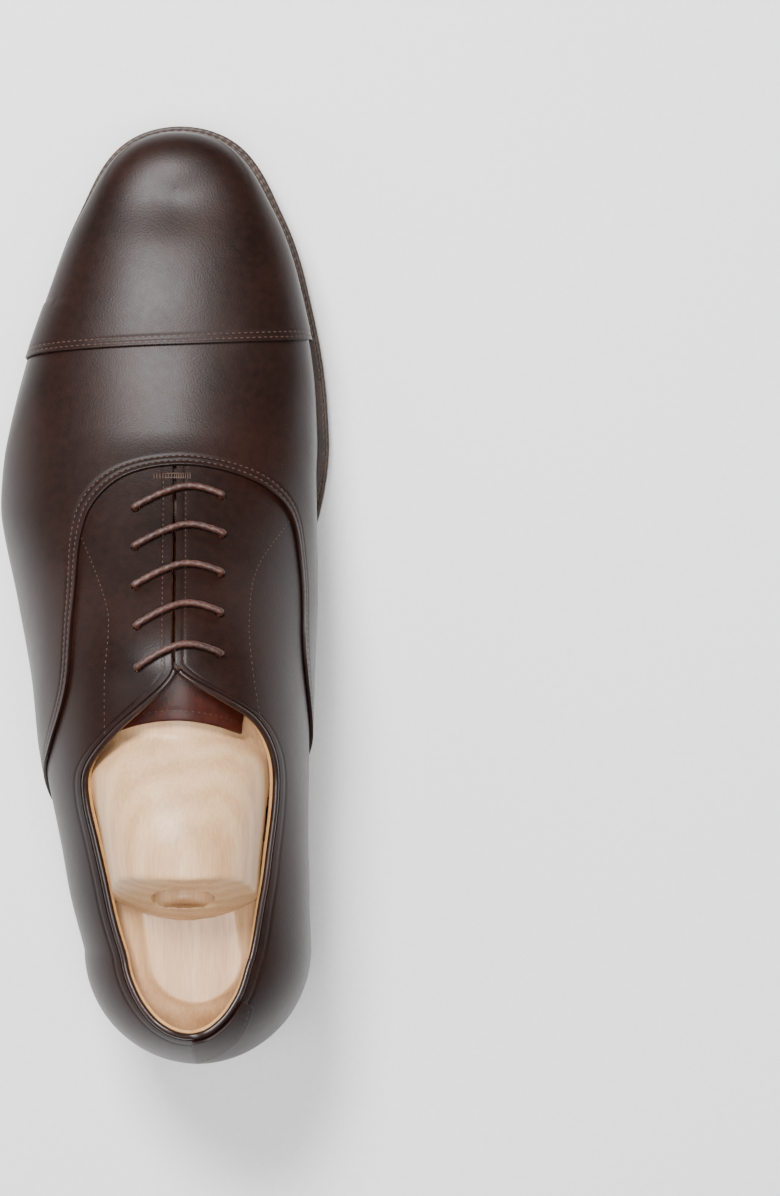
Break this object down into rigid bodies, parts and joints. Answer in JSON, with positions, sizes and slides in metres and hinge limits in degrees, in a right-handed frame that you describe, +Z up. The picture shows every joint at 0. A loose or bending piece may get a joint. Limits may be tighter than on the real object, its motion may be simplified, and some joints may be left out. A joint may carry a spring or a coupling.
{
  "type": "leather oxford shoe",
  "caption": "Left dark brown leather oxford with toe cap, closed lacing, welted sole, stacked heel and a sprung wooden shoe tree inside.",
  "frame": {"origin": "on the ground, under the middle of the shoe's box", "axes": "+Y to the toe, +X to the big-toe (medial) side, +Z up"},
  "size_m": [0.1086, 0.305, 0.1078],
  "materials": {
    "upper_leather": "polished dark brown calf, satin",
    "lining_leather": "undyed lining leather, matte",
    "binding_leather": "rolled dark binding, glossy",
    "tongue_leather": "dark brown calf, matte flesh edge",
    "stiffener_board": "stiff fibre board, matte",
    "insole_leather": "vegetable tanned, matte",
    "welt_leather": "stained edge, satin",
    "sole_leather": "near-black edge, satin; brown underside",
    "heel_leather": "stacked leather, stained edge",
    "top_piece_rubber": "matte black",
    "cork": "granulated cork, matte",
    "lace_cord": "waxed round cotton, braided",
    "thread": "waxed thread",
    "tree_wood": "sanded pale beech, unvarnished",
    "spring_steel": "bright wire",
    "steel": "drawn steel",
    "brass": "drawn brass"
  },
  "bodies": {
    "shoe": {"toe_cap": "upper_leather", "vamp": "upper_leather", "quarter_lateral": "upper_leather", "quarter_medial": "upper_leather", "back_tab": "upper_leather", "tongue": "tongue_leather", "topline_binding": "binding_leather", "bar_tack": "thread", "toe_puff": "stiffener_board", "heel_counter": "stiffener_board", "vamp_lining": "lining_leather", "quarter_lining": "lining_leather", "lace": "lace_cord", "insole": "insole_leather", "sock_lining": "lining_leather", "cork_filler": "cork", "shank": "steel", "welt": "welt_leather", "heel_rand": "welt_leather", "outsole": "sole_leather", "heel_lift_1": "heel_leather", "heel_lift_2": "heel_leather", "heel_lift_3": "heel_leather", "heel_lift_4": "heel_leather", "heel_top_piece": "top_piece_rubber", "heel_nails": "brass", "tree_forepart": "tree_wood", "tree_guide_tube": "brass", "tree_spring": "spring_steel"},
    "tree_heel_block": {"tree_heel": "tree_wood", "tree_rod": "steel"}
  },
  "joints": [
    {"name": "tree_slide", "type": "slide", "parent": "shoe", "child": "tree_heel_block", "axis": [0, 1, 0], "range_m": [0, 0.012], "stiffness_N_per_m": 900, "springref_m": -0.02, "deforming": ["tree_spring"]}
  ]
}
